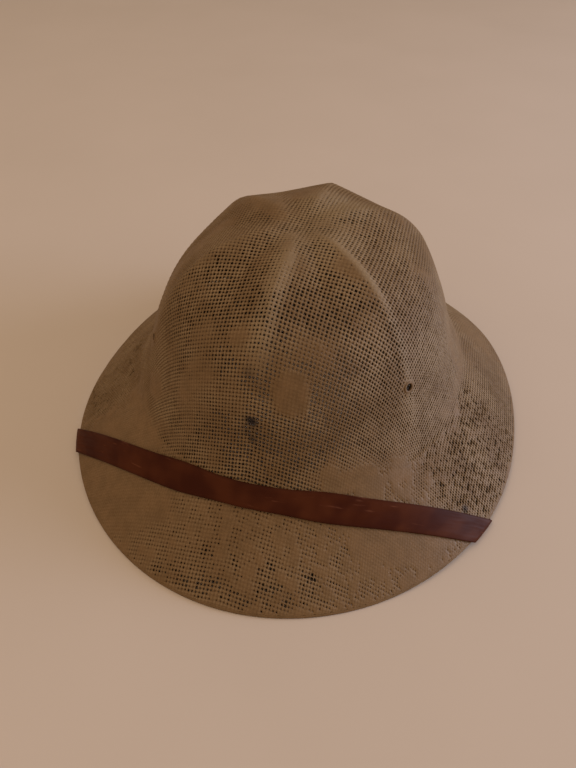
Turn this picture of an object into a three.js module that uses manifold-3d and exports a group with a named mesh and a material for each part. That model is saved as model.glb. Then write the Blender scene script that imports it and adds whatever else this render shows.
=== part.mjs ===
// Pith helmet. Crown and brim are one moulded shell of stiffened open-weave cloth, pressed into six
// soft ribs, with a vent hole through each front quarter. A leather chin strap is worn up over the
// front of the brim: it turns round the brim's edge on both sides, runs back under the brim and up
// inside the crown, and ends on a plain rivet at each temple.
// Millimetres, +Z up, wearer's front towards -Y. The origin is on the resting surface, under the
// middle of the brim. Azimuths run from the front (0) towards +X (90) and on to the back (180).
import * as THREE from 'three';
import { mergeVertices } from 'three/addons/utils/BufferGeometryUtils.js';
import Module from 'manifold-3d';

const wall = 1.8; // stiffened cloth of crown and brim
const clearance = 0.3; // air between pieces that touch

const brim = {
  halfWidth: 143,
  front: 161, // from the middle to the front edge
  back: 161,
  squareFront: 2.0, // exponent of the outline: 2 is an ellipse, more is squarer
  squareBack: 2.3,
  edgeHeight: 1.8, // upright face of the edge
  landWidth: 1.5, // level strip under the edge that the helmet rests on
  sideLift: 2.3, // the edge is level at front and back and lifts a little at the sides
  liftStarts: 0.9, // cosine of the azimuth where the lift starts, and where it is whole
  liftWhole: 0.6,
  bow: 1.1, // exponent of the slope: 1 is straight, more is domed
};

const crown = {
  halfWidth: 102,
  front: 108,
  back: 120,
  square: 2.1,
  baseHeight: 40,
  rise: 94.5,
  sideTaper: 0.06, // how much narrower the top is from side to side
  cornerAbove: 0.06, // the rounded corner between crown and brim, in stations on each side
  cornerBelow: 0.14,
};

// Each rib is a broad swell with a narrow rounded crest on it.
const ribs = {
  azimuths: [0, 55, 132, 180, -124, -55],
  swell: 17, // half width of the swell
  swellShare: 0.7, // share of the rib's height that is swell
  crest: 4, // how fast the crest falls away
  tip: 1.5, // rounding of the crest
};

// How far the crown stands out, against an ellipse, at each angle up from its base.
const bulges = [
  { angle: 0, rib: 1.0, panel: 1.0 },
  { angle: 15, rib: 0.95, panel: 0.944 },
  { angle: 30, rib: 0.988, panel: 0.973 },
  { angle: 45, rib: 1.052, panel: 1.026 },
  { angle: 60, rib: 1.083, panel: 1.03 },
  { angle: 75, rib: 1.056, panel: 1.014 },
  { angle: 90, rib: 1.0, panel: 1.0 },
];

const vents = { azimuth: 54.5, station: 0.708, bore: 2, rim: 3.5, rimRise: 0.5, sides: 20 };

const strap = {
  width: 15.2,
  thickness: 1.1,
  frontReach: 114.2, // its middle line crosses the front this far ahead of the origin
  arch: 49, // and falls back to both sides as a hyperbola of this depth and spread
  spread: 90,
  skew: 0.013, // it lies a little further back on the +X side
  overGap: 0.65, // gap to the shell where it lies over the brim
  turnRadius: 2.2, // middle of the leather where it turns round the brim's edge
  turnShift: 2.2, // degrees that it moves back along the edge in the turn
  underGap: 1.04, // gap to the shell where it passes below the edge
  endGap: 0.4, // and where it lies against the inside of the crown
};

// The strap's hidden stretch: `along` goes from the turn (0) to the temple (1) in azimuth, and
// `station` from the brim's edge (2) past the crown's base (1) up the inside of the crown.
const hiddenStretch = [
  { along: -0.3, station: 2.68 },
  { along: 0, station: 2.0 },
  { along: 0.18, station: 1.61 },
  { along: 0.4, station: 1.33 },
  { along: 0.62, station: 1.12 },
  { along: 0.82, station: 0.98 },
  { along: 1, station: 0.88 },
  { along: 1.1, station: 0.79 },
];
const templeAzimuth = 90;
const rivetRow = 6; // the row of that table where the rivet goes through

const rivet = { shank: 2, head: 4.5, headHeight: 1.3, headGap: 0.5, pocket: 1.0, sides: 20 };

const rings = {
  azimuths: 84,
  stations: [
    0.06, 0.13, 0.21, 0.3, 0.39, 0.48, 0.57, 0.66, 0.75, 0.83, 0.9, 0.94,
    0.98, 1.04, 1.14, 1.35, 1.57, 1.78, 1.96,
  ],
};

const wasm = await Module();
wasm.setup();

const radians = THREE.MathUtils.degToRad;
const up = new THREE.Vector3(0, 0, 1);

// ---- The shell's outer surface
// Its two coordinates are the azimuth and the station: 0 at the top, 1 at the crown's base, 2 at the edge.

function outline(azimuth, side, front, back, squareFront, squareBack) {
  const c = Math.cos(azimuth);
  const square = squareFront * (0.5 + 0.5 * c) + squareBack * (0.5 - 0.5 * c);
  const across = Math.abs(Math.sin(azimuth) / side) ** square;
  const lengthwise = Math.abs(c / (c > 0 ? front : back)) ** square;
  return (across + lengthwise) ** (-1 / square);
}

function crownOutline(azimuth) {
  return outline(azimuth, crown.halfWidth, crown.front, crown.back, crown.square, crown.square);
}

function brimOutline(azimuth) {
  return outline(azimuth, brim.halfWidth, brim.front, brim.back, brim.squareFront, brim.squareBack);
}

// Cubic through the rows of the bulge table, level at its last row.
function bulge(column, angle) {
  const spacing = bulges[1].angle - bulges[0].angle;
  const last = bulges.length - 1;
  const row = Math.min(Math.floor(angle / spacing), last - 1);
  const slope = (i) => {
    if (i === last) return 0;
    if (i === 0) return bulges[1][column] - bulges[0][column];
    return (bulges[i + 1][column] - bulges[i - 1][column]) / 2;
  };
  const k = angle / spacing - row;
  const from = bulges[row][column];
  const to = bulges[row + 1][column];
  return from * (1 - 3 * k ** 2 + 2 * k ** 3) + to * (3 * k ** 2 - 2 * k ** 3)
    + slope(row) * (k - 2 * k ** 2 + k ** 3) + slope(row + 1) * (k ** 3 - k ** 2);
}

// How much of a rib's height there is at a distance from it: 1 on its crest, 0 on the panel.
function ribShare(distance) {
  const swell = Math.exp(-((distance / ribs.swell) ** 2));
  const crest = Math.exp((ribs.tip - Math.hypot(distance, ribs.tip)) / ribs.crest);
  return ribs.swellShare * swell + (1 - ribs.swellShare) * crest;
}

function angleToRib(azimuth) {
  const angles = ribs.azimuths.map((rib) => {
    const turn = azimuth - radians(rib);
    return Math.abs(Math.atan2(Math.sin(turn), Math.cos(turn)));
  });
  return Math.min(...angles);
}

function crownPoint(azimuth, station) {
  const angle = 90 * (1 - station);
  const level = Math.cos(radians(angle));
  const height = Math.sin(radians(angle));
  const base = crownOutline(azimuth);
  const onRib = ribShare(base * level * Math.sin(angleToRib(azimuth)));
  const panel = bulge('panel', angle);
  const out = panel + (bulge('rib', angle) - panel) * onRib;
  const r = base * out * level;
  return new THREE.Vector3(
    Math.sin(azimuth) * r * (1 - crown.sideTaper * height),
    -Math.cos(azimuth) * r,
    crown.baseHeight + crown.rise * out * height,
  );
}

function edgeLift(azimuth) {
  const c = Math.abs(Math.cos(azimuth));
  return brim.sideLift * (1 - THREE.MathUtils.smoothstep(c, brim.liftWhole, brim.liftStarts));
}

function brimPoint(azimuth, station) {
  const base = crownOutline(azimuth);
  const out = station - 1;
  const r = base + (brimOutline(azimuth) - base) * out;
  const fall = crown.baseHeight - brim.edgeHeight - edgeLift(azimuth);
  return new THREE.Vector3(
    Math.sin(azimuth) * r,
    -Math.cos(azimuth) * r,
    crown.baseHeight - fall * out ** brim.bow,
  );
}

function shellPoint(azimuth, station) {
  const above = 1 - crown.cornerAbove;
  const below = 1 + crown.cornerBelow;
  if (station <= above) return crownPoint(azimuth, station);
  if (station >= below) return brimPoint(azimuth, station);
  const k = (station - above) / (below - above);
  return crownPoint(azimuth, above).multiplyScalar((1 - k) ** 2)
    .add(crownPoint(azimuth, 1).multiplyScalar(2 * k * (1 - k)))
    .add(brimPoint(azimuth, below).multiplyScalar(k ** 2));
}

const nudge = 1e-3; // step for slopes

function shellSlopes(azimuth, station) {
  const round = shellPoint(azimuth + nudge, station).sub(shellPoint(azimuth - nudge, station));
  const down = shellPoint(azimuth, station + nudge).sub(shellPoint(azimuth, station - nudge));
  return { round: round.divideScalar(2 * nudge), down: down.divideScalar(2 * nudge) };
}

function shellNormal(azimuth, station) {
  if (station < rings.stations[0] / 2) return up.clone();
  const { round, down } = shellSlopes(azimuth, station);
  return down.cross(round).normalize();
}

function offShell(azimuth, station, distance) {
  return shellPoint(azimuth, station).addScaledVector(shellNormal(azimuth, station), distance);
}

// ---- Closed solids

// Joins loops of points into a closed body. A loop of one point is a pole; an end loop of more is
// capped by a strip that zigzags from its first half to its second.
function closedLoft(loops) {
  const positions = [];
  const index = [];
  const starts = loops.map((loop) => {
    const start = positions.length / 3;
    loop.forEach((p) => positions.push(p.x, p.y, p.z));
    return start;
  });
  const count = Math.max(...loops.map((loop) => loop.length));
  const at = (i, j) => starts[i] + (loops[i].length === 1 ? 0 : j);
  for (let i = 0; i < loops.length - 1; i += 1) {
    for (let j = 0; j < count; j += 1) {
      const k = (j + 1) % count;
      if (loops[i].length > 1) index.push(at(i, j), at(i + 1, j), at(i, k));
      if (loops[i + 1].length > 1) index.push(at(i, k), at(i + 1, j), at(i + 1, k));
    }
  }
  const cap = (start, flip) => {
    for (let j = 0; j < count / 2 - 1; j += 1) {
      const quad = [start + j, start + j + 1, start + count - 2 - j, start + count - 1 - j];
      if (flip) quad.reverse();
      index.push(quad[0], quad[1], quad[3], quad[1], quad[2], quad[3]);
    }
  };
  if (loops[0].length > 1) cap(starts[0], false);
  if (loops[loops.length - 1].length > 1) cap(starts[loops.length - 1], true);
  const geometry = new THREE.BufferGeometry();
  geometry.setAttribute('position', new THREE.Float32BufferAttribute(positions, 3));
  geometry.setIndex(index);
  return geometry;
}

function toSolid(geometry) {
  const bare = geometry.clone();
  bare.deleteAttribute('normal');
  bare.deleteAttribute('uv');
  const merged = mergeVertices(bare, 1e-4);
  return new wasm.Manifold(new wasm.Mesh({
    numProp: 3,
    vertProperties: new Float32Array(merged.attributes.position.array),
    triVerts: new Uint32Array(merged.index.array),
  }));
}

function toGeometry(solid) {
  const mesh = solid.getMesh();
  const geometry = new THREE.BufferGeometry();
  geometry.setAttribute('position', new THREE.Float32BufferAttribute(mesh.vertProperties, 3));
  geometry.setIndex(Array.from(mesh.triVerts));
  geometry.computeVertexNormals();
  return geometry;
}

// A round bar along an axis, from one distance to another past a point on it.
function bar(point, axis, from, to, radius, sides) {
  const geometry = new THREE.CylinderGeometry(radius, radius, to - from, sides);
  geometry.applyQuaternion(new THREE.Quaternion().setFromUnitVectors(new THREE.Vector3(0, 1, 0), axis));
  const middle = point.clone().addScaledVector(axis, (from + to) / 2);
  geometry.translate(middle.x, middle.y, middle.z);
  return toSolid(geometry);
}

// ---- Shell

function ringAt(makePoint) {
  return Array.from({ length: rings.azimuths }, (_, i) => makePoint((2 * Math.PI * i) / rings.azimuths));
}

function edgePoint(azimuth, inward, height) {
  const r = brimOutline(azimuth) - inward;
  return new THREE.Vector3(Math.sin(azimuth) * r, -Math.cos(azimuth) * r, edgeLift(azimuth) + height);
}

function shellWalls() {
  const outer = rings.stations.map((station) => ringAt((a) => shellPoint(a, station)));
  const inner = rings.stations.map((station) => ringAt((a) => offShell(a, station, -wall)));
  const edge = [
    ringAt((a) => edgePoint(a, 0, brim.edgeHeight)),
    ringAt((a) => edgePoint(a, 0, 0)),
    ringAt((a) => edgePoint(a, brim.landWidth, 0)),
  ];
  inner.pop(); // the level strip takes the place of the last inner ring
  const top = shellPoint(0, 0);
  const loops = [[top], ...outer, ...edge, ...inner.reverse(), [top.clone().addScaledVector(up, -wall)]];
  return toSolid(closedLoft(loops));
}

function cutVent(shell, side) {
  const azimuth = side * radians(vents.azimuth);
  const point = shellPoint(azimuth, vents.station);
  const axis = shellNormal(azimuth, vents.station);
  const rim = bar(point, axis, -wall / 2, vents.rimRise, vents.rim, vents.sides);
  const bore = bar(point, axis, -3 * wall, 3 * wall, vents.bore, vents.sides);
  return shell.add(rim).subtract(bore);
}

// ---- Chin strap

// The azimuth and station of a point beside a line on the shell, a distance off it.
function beside(line, t, distance) {
  const here = line(t);
  const ahead = line(t + nudge);
  const { round, down } = shellSlopes(here.azimuth, here.station);
  const forward = round.clone().multiplyScalar(ahead.azimuth - here.azimuth)
    .addScaledVector(down, ahead.station - here.station).normalize();
  const sideways = new THREE.Vector3().crossVectors(round, down).normalize().cross(forward);
  const a = round.dot(round);
  const b = round.dot(down);
  const c = down.dot(down);
  const p = sideways.dot(round) * distance;
  const q = sideways.dot(down) * distance;
  const scale = 1 / (a * c - b * b);
  return {
    azimuth: here.azimuth + (c * p - b * q) * scale,
    station: here.station + (a * q - b * p) * scale,
  };
}

function overBrim(x) {
  const y = -strap.frontReach + strap.arch * (Math.hypot(1, x / strap.spread) - 1) + strap.skew * x;
  const azimuth = Math.atan2(x, -y);
  const base = crownOutline(azimuth);
  return { azimuth, station: 1 + (Math.hypot(x, y) - base) / (brimOutline(azimuth) - base) };
}

function underBrim(side, turnAzimuth) {
  const start = turnAzimuth + side * radians(strap.turnShift);
  const end = side * radians(templeAzimuth);
  const route = new THREE.SplineCurve(hiddenStretch.map((row) => new THREE.Vector2(row.along, row.station)));
  return (t) => {
    const { x, y } = route.getPoint(t);
    return { azimuth: start + (end - start) * x, station: y };
  };
}

// Where a line crosses the brim's edge, found by halving between two of its ends.
function crossing(line, inside, outside) {
  let near = inside;
  let far = outside;
  for (let i = 0; i < 40; i += 1) {
    const middle = (near + far) / 2;
    if (line(middle).station < 2) near = middle;
    else far = middle;
  }
  return (near + far) / 2;
}

const acrossStrap = [-1, 0, 1]; // a section has its two edges and its middle
const steps = { over: 14, turn: 8, under: 14 }; // sections in each stretch of one side
const flatShare = 0.985; // share of a stretch that lies flat before the turn begins
const onTop = { inside: 60, outside: 150 }; // x on and off the brim, as far as the strap's line goes
const below = { inside: 0.6, outside: 0, end: 0.999 }; // the same along the hidden stretch

// A section of the strap: for each point across it, the middle of the leather and the way out of it.
function layOn(places, gap, outward) {
  const points = places.map(({ azimuth, station }) => {
    const normal = shellNormal(azimuth, station).multiplyScalar(outward);
    const skin = outward > 0 ? 0 : wall;
    const point = shellPoint(azimuth, station).addScaledVector(normal, skin + gap + strap.thickness / 2);
    return { point, normal };
  });
  const [rear, middle, fore] = points;
  const chord = rear.point.clone().add(fore.point).multiplyScalar(0.5);
  if (chord.clone().sub(middle.point).dot(middle.normal) > 0) middle.point.copy(chord);
  return points;
}

function turnSection(from, to, k) {
  return acrossStrap.map((_, i) => {
    const azimuth = THREE.MathUtils.lerp(from[i].azimuth, to[i].azimuth, k);
    const start = shellNormal(azimuth, 2);
    const along = edgePoint(azimuth + nudge, 0, 0).sub(edgePoint(azimuth - nudge, 0, 0)).normalize();
    const normal = start.applyAxisAngle(along, Math.PI * k);
    const half = brim.edgeHeight / 2;
    const point = edgePoint(azimuth, half, half).addScaledVector(normal, strap.turnRadius);
    return { point, normal };
  });
}

function hiddenGap(t) {
  return THREE.MathUtils.lerp(strap.underGap, strap.endGap, t);
}

// Sections from the middle of the front to the temple, on one side.
function halfStrap(side) {
  const edges = acrossStrap.map((v) => (x) => beside(overBrim, x, (v * strap.width) / 2));
  const leaves = edges.map((line) => crossing(line, side * onTop.inside, side * onTop.outside));
  const turnStart = edges.map((line, i) => line(leaves[i]));
  const hidden = underBrim(side, turnStart[1].azimuth);
  const hiddenEdges = acrossStrap.map((v) => (t) => beside(hidden, t, (-side * v * strap.width) / 2));
  const enters = hiddenEdges.map((line) => crossing(line, below.inside, below.outside));
  const turnEnd = hiddenEdges.map((line, i) => line(enters[i]));
  const sections = [];
  for (let i = 1; i <= steps.over; i += 1) {
    const k = (flatShare * i) / steps.over;
    sections.push(layOn(edges.map((line, n) => line(leaves[n] * k)), strap.overGap, 1));
  }
  for (let i = 0; i <= steps.turn; i += 1) {
    sections.push(turnSection(turnStart, turnEnd, i / steps.turn));
  }
  for (let i = 0; i <= steps.under; i += 1) {
    const k = 1 - flatShare * (1 - i / steps.under);
    const along = enters.map((enter) => THREE.MathUtils.lerp(enter, below.end, k));
    const places = hiddenEdges.map((line, n) => line(along[n]));
    sections.push(layOn(places, hiddenGap(along[1]), -1));
  }
  return { sections, hidden };
}

function strapLoop(section) {
  const half = strap.thickness / 2;
  const face = (distance) => section.map((s) => s.point.clone().addScaledVector(s.normal, distance));
  return [...face(half).reverse(), ...face(-half)];
}

function strapBand(right, left) {
  const middle = acrossStrap.map((v) => beside(overBrim, 0, (v * strap.width) / 2));
  const front = layOn(middle, strap.overGap, 1);
  return toSolid(closedLoft([...right.reverse(), front, ...left].map(strapLoop)));
}

// ---- Temple rivets: a head inside the strap, and a shank through it into a blind pocket in the shell

function rivetSeat(hidden) {
  const t = rivetRow / (hiddenStretch.length - 1);
  const { azimuth, station } = hidden(t);
  const axis = shellNormal(azimuth, station).negate(); // towards the head space
  const point = shellPoint(azimuth, station).addScaledVector(axis, wall);
  return { point, axis, leather: hiddenGap(t) };
}

function makeRivet({ point, axis, leather }) {
  const under = leather + strap.thickness + rivet.headGap;
  const top = under + rivet.headHeight;
  const shank = bar(point, axis, clearance - rivet.pocket, top, rivet.shank, rivet.sides);
  const head = bar(point, axis, under, top, rivet.head, rivet.sides);
  return shank.add(head);
}

function seatHole({ point, axis }, depth, height) {
  return bar(point, axis, -depth, height, rivet.shank + clearance, rivet.sides);
}

// ---- The helmet

function piece(name, solid, colour, roughness, metalness) {
  const material = new THREE.MeshStandardMaterial({ color: colour, roughness, metalness });
  const mesh = new THREE.Mesh(toGeometry(solid), material);
  mesh.name = name;
  return mesh;
}

const right = halfStrap(-1); // the wearer's right and left
const left = halfStrap(1);
const seats = [rivetSeat(right.hidden), rivetSeat(left.hidden)];

let shell = cutVent(cutVent(shellWalls(), -1), 1);
let band = strapBand(right.sections, left.sections);
seats.forEach((seat) => {
  shell = shell.subtract(seatHole(seat, rivet.pocket, wall));
  band = band.subtract(seatHole(seat, 0, 4 * strap.thickness));
});

const helmet = new THREE.Group();
helmet.add(piece('shell', shell, '#7a6a50', 0.8, 0));
helmet.add(piece('chin_strap', band, '#5a3020', 0.5, 0));
helmet.add(piece('strap_rivet_right', makeRivet(seats[0]), '#8a7346', 0.4, 1));
helmet.add(piece('strap_rivet_left', makeRivet(seats[1]), '#8a7346', 0.4, 1));

export default helmet;
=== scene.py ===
import bpy
import math
import numpy as np
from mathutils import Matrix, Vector


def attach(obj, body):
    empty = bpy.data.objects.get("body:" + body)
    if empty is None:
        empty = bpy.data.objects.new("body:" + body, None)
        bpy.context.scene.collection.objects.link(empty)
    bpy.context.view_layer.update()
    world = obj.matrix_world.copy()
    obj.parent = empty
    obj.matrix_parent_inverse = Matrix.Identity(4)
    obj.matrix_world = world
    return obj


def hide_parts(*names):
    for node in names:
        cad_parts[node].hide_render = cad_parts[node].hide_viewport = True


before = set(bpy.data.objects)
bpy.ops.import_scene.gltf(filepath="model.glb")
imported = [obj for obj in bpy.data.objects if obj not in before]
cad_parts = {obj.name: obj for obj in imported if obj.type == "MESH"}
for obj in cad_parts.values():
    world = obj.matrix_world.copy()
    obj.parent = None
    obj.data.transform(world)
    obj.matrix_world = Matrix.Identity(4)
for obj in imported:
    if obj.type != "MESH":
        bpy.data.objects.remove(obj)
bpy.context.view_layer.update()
mm = 0.001
print(f"frame loaded: {len(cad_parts)} nodes")

# The shell's measures, in millimetres, as the CAD has them
brim = dict(halfWidth=143, front=161, back=161, squareFront=2.0, squareBack=2.3, edgeHeight=1.8,
            sideLift=2.3, liftStarts=0.9, liftWhole=0.6, bow=1.1)
crown = dict(halfWidth=102, front=108, back=120, square=2.1, baseHeight=40, rise=94.5,
             sideTaper=0.06, cornerAbove=0.06, cornerBelow=0.14)
ribs = dict(azimuths=(0, 55, 132, 180, -124, -55), swell=17, swellShare=0.7, crest=4, tip=1.5)
bulges = dict(step=15, rib=(1, 0.95, 0.988, 1.052, 1.083, 1.056, 1),
              panel=(1, 0.944, 0.973, 1.026, 1.03, 1.014, 1))
wall = 1.8


# The shell's outer surface. Azimuth is in radians from the front towards +X, and a station is 0 at the
# top, 1 at the crown's base and 2 at the brim's edge. All of these take arrays.
def smooth(low, high, x):
    k = np.clip((x - low) / (high - low), 0, 1)
    return k * k * (3 - 2 * k)


def outline(azimuth, side, front, back, squareFront, squareBack):
    c = np.cos(azimuth)
    square = squareFront * (0.5 + 0.5 * c) + squareBack * (0.5 - 0.5 * c)
    across = np.abs(np.sin(azimuth) / side) ** square
    lengthwise = np.abs(c / np.where(c > 0, front, back)) ** square
    return (across + lengthwise) ** (-1 / square)


def crownOutline(azimuth):
    return outline(azimuth, crown["halfWidth"], crown["front"], crown["back"],
                   crown["square"], crown["square"])


def brimOutline(azimuth):
    return outline(azimuth, brim["halfWidth"], brim["front"], brim["back"],
                   brim["squareFront"], brim["squareBack"])


def bulge(column, angle):
    table = np.array(bulges[column], float)
    last = len(table) - 1
    slopes = np.concatenate([[table[1] - table[0]], (table[2:] - table[:-2]) / 2, [0]])
    row = np.clip(np.floor(angle / bulges["step"]).astype(int), 0, last - 1)
    k = angle / bulges["step"] - row
    return (table[row] * (1 - 3 * k ** 2 + 2 * k ** 3) + table[row + 1] * (3 * k ** 2 - 2 * k ** 3)
            + slopes[row] * (k - 2 * k ** 2 + k ** 3) + slopes[row + 1] * (k ** 3 - k ** 2))


def ribShare(distance):
    crest = np.exp((ribs["tip"] - np.hypot(distance, ribs["tip"])) / ribs["crest"])
    swell = np.exp(-(distance / ribs["swell"]) ** 2)
    return ribs["swellShare"] * swell + (1 - ribs["swellShare"]) * crest


def angleToRib(azimuth):
    turns = [azimuth - math.radians(rib) for rib in ribs["azimuths"]]
    return np.min([np.abs(np.arctan2(np.sin(turn), np.cos(turn))) for turn in turns], axis=0)


def crownPoint(azimuth, station):
    angle = 90 * (1 - station)
    level, height = np.cos(np.radians(angle)), np.sin(np.radians(angle))
    base = crownOutline(azimuth)
    panel = bulge("panel", angle)
    share = ribShare(base * level * np.sin(angleToRib(azimuth)))
    out = panel + (bulge("rib", angle) - panel) * share
    r = base * out * level
    return np.stack([np.sin(azimuth) * r * (1 - crown["sideTaper"] * height), -np.cos(azimuth) * r,
                     crown["baseHeight"] + crown["rise"] * out * height], axis=-1)


def edgeLift(azimuth):
    return brim["sideLift"] * (1 - smooth(brim["liftWhole"], brim["liftStarts"], np.abs(np.cos(azimuth))))


def brimPoint(azimuth, station):
    base = crownOutline(azimuth)
    out = np.maximum(station - 1, 0)
    r = base + (brimOutline(azimuth) - base) * out
    fall = crown["baseHeight"] - brim["edgeHeight"] - edgeLift(azimuth)
    return np.stack([np.sin(azimuth) * r, -np.cos(azimuth) * r,
                     crown["baseHeight"] - fall * out ** brim["bow"]], axis=-1)


def shellPoint(azimuth, station):
    azimuth, station = np.broadcast_arrays(np.asarray(azimuth, float), np.asarray(station, float))
    above, below = 1 - crown["cornerAbove"], 1 + crown["cornerBelow"]
    k = np.clip((station - above) / (below - above), 0, 1)[..., None]
    start = crownPoint(azimuth, np.minimum(station, above))
    finish = brimPoint(azimuth, np.maximum(station, below))
    corner = (start * (1 - k) ** 2 + crownPoint(azimuth, np.ones_like(station)) * 2 * k * (1 - k)
              + finish * k ** 2)
    onCrown, onBrim = (station <= above)[..., None], (station >= below)[..., None]
    return np.where(onCrown, start, np.where(onBrim, finish, corner))


def shellSlopes(azimuth, station):
    step = 1e-3
    station = np.maximum(station, 2 * step)
    sideways = shellPoint(azimuth + step, station) - shellPoint(azimuth - step, station)
    down = shellPoint(azimuth, station + step) - shellPoint(azimuth, station - step)
    return sideways / (2 * step), down / (2 * step)


def unit(v):
    return v / np.linalg.norm(v, axis=-1, keepdims=True)


def shellNormal(azimuth, station):
    sideways, down = shellSlopes(azimuth, station)
    return unit(np.cross(down, sideways))


def linear(hexColour):
    values = [int(hexColour[i:i + 2], 16) / 255 for i in (1, 3, 5)]
    return tuple(v / 12.92 if v <= 0.04045 else ((v + 0.055) / 1.055) ** 2.4 for v in values) + (1,)


# Adds a node, sets it, fills or links its inputs, and gives back one of its outputs
def addNode(tree, kind, inputs=None, out=0, **settings):
    node = tree.nodes.new(kind)
    for name, value in settings.items():
        setattr(node, name, value)
    for key, value in (inputs or {}).items():
        if isinstance(value, bpy.types.NodeSocket):
            tree.links.new(value, node.inputs[key])
        else:
            node.inputs[key].default_value = value
    return node.outputs[out] if len(node.outputs) else node


def newMaterial(name):
    material = bpy.data.materials.new(name)
    material.use_nodes = True
    return material, material.node_tree, material.node_tree.nodes["Principled BSDF"].inputs


def addMesh(name, points, faces, material):
    mesh = bpy.data.meshes.new(name)
    mesh.from_pydata(np.asarray(points).tolist(), [], faces)
    mesh.validate()
    mesh.update()
    mesh.polygons.foreach_set("use_smooth", [True] * len(mesh.polygons))
    if material:
        mesh.materials.append(material)
    obj = bpy.data.objects.new(name, mesh)
    bpy.context.scene.collection.objects.link(obj)
    return obj


# Quads between rings of points that follow one another, the first point being number first
def ringFaces(rings, sides, closed=False, first=0):
    def corner(i, j):
        return first + i % rings * sides + j % sides
    return [(corner(i, j), corner(i, j + 1), corner(i + 1, j + 1), corner(i + 1, j))
            for i in range(rings if closed else rings - 1) for j in range(sides)]


def readValues(items, field, kind=int, width=1):
    values = np.zeros(len(items) * width, kind)
    items.foreach_get(field, values)
    return values


def storeValues(mesh, domain="POINT", **columns):
    for name, values in columns.items():
        attribute = mesh.attributes.new(name, "FLOAT", domain)
        attribute.data.foreach_set("value", np.asarray(values, np.float32))


def finishPiece(obj, slot, *nodes):
    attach(obj, "root")
    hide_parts(*nodes)


# The camera stands where a person would who looks down at the hat on a table
view = dict(target=(5.87, -50.38, 62.04), azimuth=16.433, elevation=43.844, distance=362.0, lens=29.76)


def makeCamera():
    azimuth, elevation = math.radians(view["azimuth"]), math.radians(view["elevation"])
    back = Vector((math.sin(azimuth) * math.cos(elevation), -math.cos(azimuth) * math.cos(elevation),
                   math.sin(elevation)))
    camera = bpy.data.cameras.new("camera")
    camera.lens = view["lens"]
    camera.sensor_width = 36
    obj = bpy.data.objects.new("camera", camera)
    obj.location = (Vector(view["target"]) + back * view["distance"]) * mm
    obj.rotation_euler = back.to_track_quat("Z", "Y").to_euler()
    bpy.context.scene.collection.objects.link(obj)
    bpy.context.scene.camera = obj


makeCamera()
print("camera made")


# Stiffened jute cloth: coarse round threads under a matte, khaki size that has run into the holes.
# The threads' tops are rubbed pale, the filled places are smooth, dust lies in a fine grain, and painted
# shade darkens the low places between the threads.
clothLook = dict(
    thread="#775d3a", threadPale="#8a714f", threadBrown="#684c2b", between="#3a2614", top="#9f8c6f",
    size="#6b5130", sizePale="#795d3b", crest="#a8977c", dust="#553d22", wall="#301c0f",
    stain="#1d110b",
    patch=24, blotch=7, grain=0.9,  # widths in millimetres: pale places, brown places, grain
    lowShare=0.7, sizeShare=0.8, crestShare=0.45,  # how much each colour covers where it is thickest
    threadShape=1.6, smoothed=0.7, grainHeight=0.35,  # in the bump: smoothed is what the size hides
    bumpHeight=0.22, bumpStrength=0.6, specular=0.4,
)


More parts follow.
